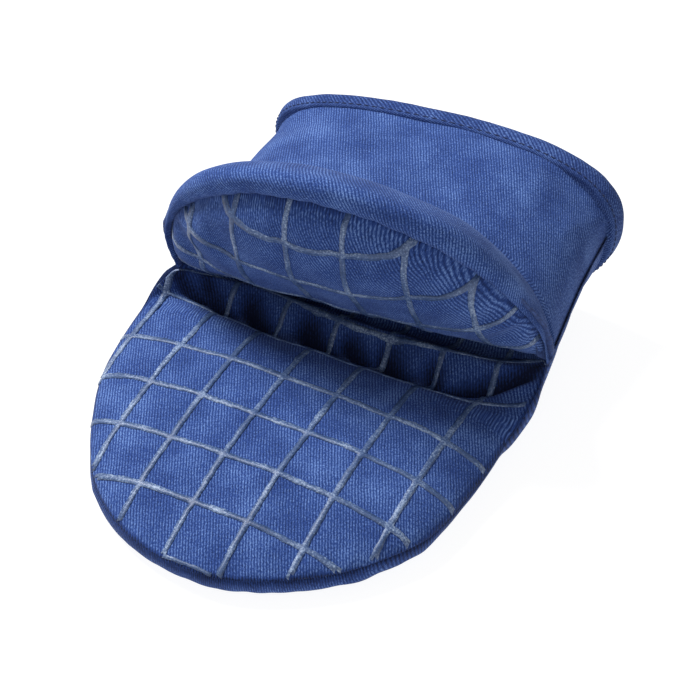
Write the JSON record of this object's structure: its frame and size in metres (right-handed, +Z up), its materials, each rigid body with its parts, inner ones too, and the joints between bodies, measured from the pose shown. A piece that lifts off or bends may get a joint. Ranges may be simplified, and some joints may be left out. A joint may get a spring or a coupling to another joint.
{
  "type": "oven mitt",
  "caption": "Mini pinch oven mitt lying on its back with its mouth open, padded finger and thumb pockets with a grid grip print, and a bound cuff.",
  "frame": {"origin": "middle of the mitt's outline, on the surface it lies on", "axes": "+Z up, +Y from the finger tip to the cuff, +X across; the thumb jaw turns on the mouth fold along X"},
  "size_m": [0.14, 0.186, 0.1075],
  "materials": {
    "twill": "matte cotton twill",
    "palm_twill": "matte cotton twill",
    "wadding": "matte needled wadding",
    "lining": "matte plain weave",
    "silicone": "satin printed silicone",
    "binding": "matte cotton twill",
    "thread": "satin polyester thread"
  },
  "bodies": {
    "finger_jaw": {"back_shell": "twill", "back_wadding": "wadding", "back_lining": "lining", "finger_palm_panel": "palm_twill", "finger_palm_wadding": "wadding", "finger_palm_lining": "lining", "finger_grip_print": "silicone", "cuff_top_shell": "twill", "cuff_top_wadding": "wadding", "cuff_top_lining": "lining", "cuff_binding": "binding", "binding_stitching": "thread", "finger_seam_thread": "thread", "left_side_seam_thread": "thread", "right_side_seam_thread": "thread"},
    "thumb_jaw": {"thumb_shell": "twill", "thumb_wadding": "wadding", "thumb_lining": "lining", "thumb_palm_panel": "palm_twill", "thumb_palm_wadding": "wadding", "thumb_palm_lining": "lining", "thumb_grip_print": "silicone", "thumb_seam_thread": "thread"}
  },
  "joints": [
    {"name": "mouth_fold", "type": "hinge", "parent": "finger_jaw", "child": "thumb_jaw", "pos_m": [0, 0.021, 0.026], "axis": [1, 0, 0], "range_deg": [-25, 45]}
  ]
}
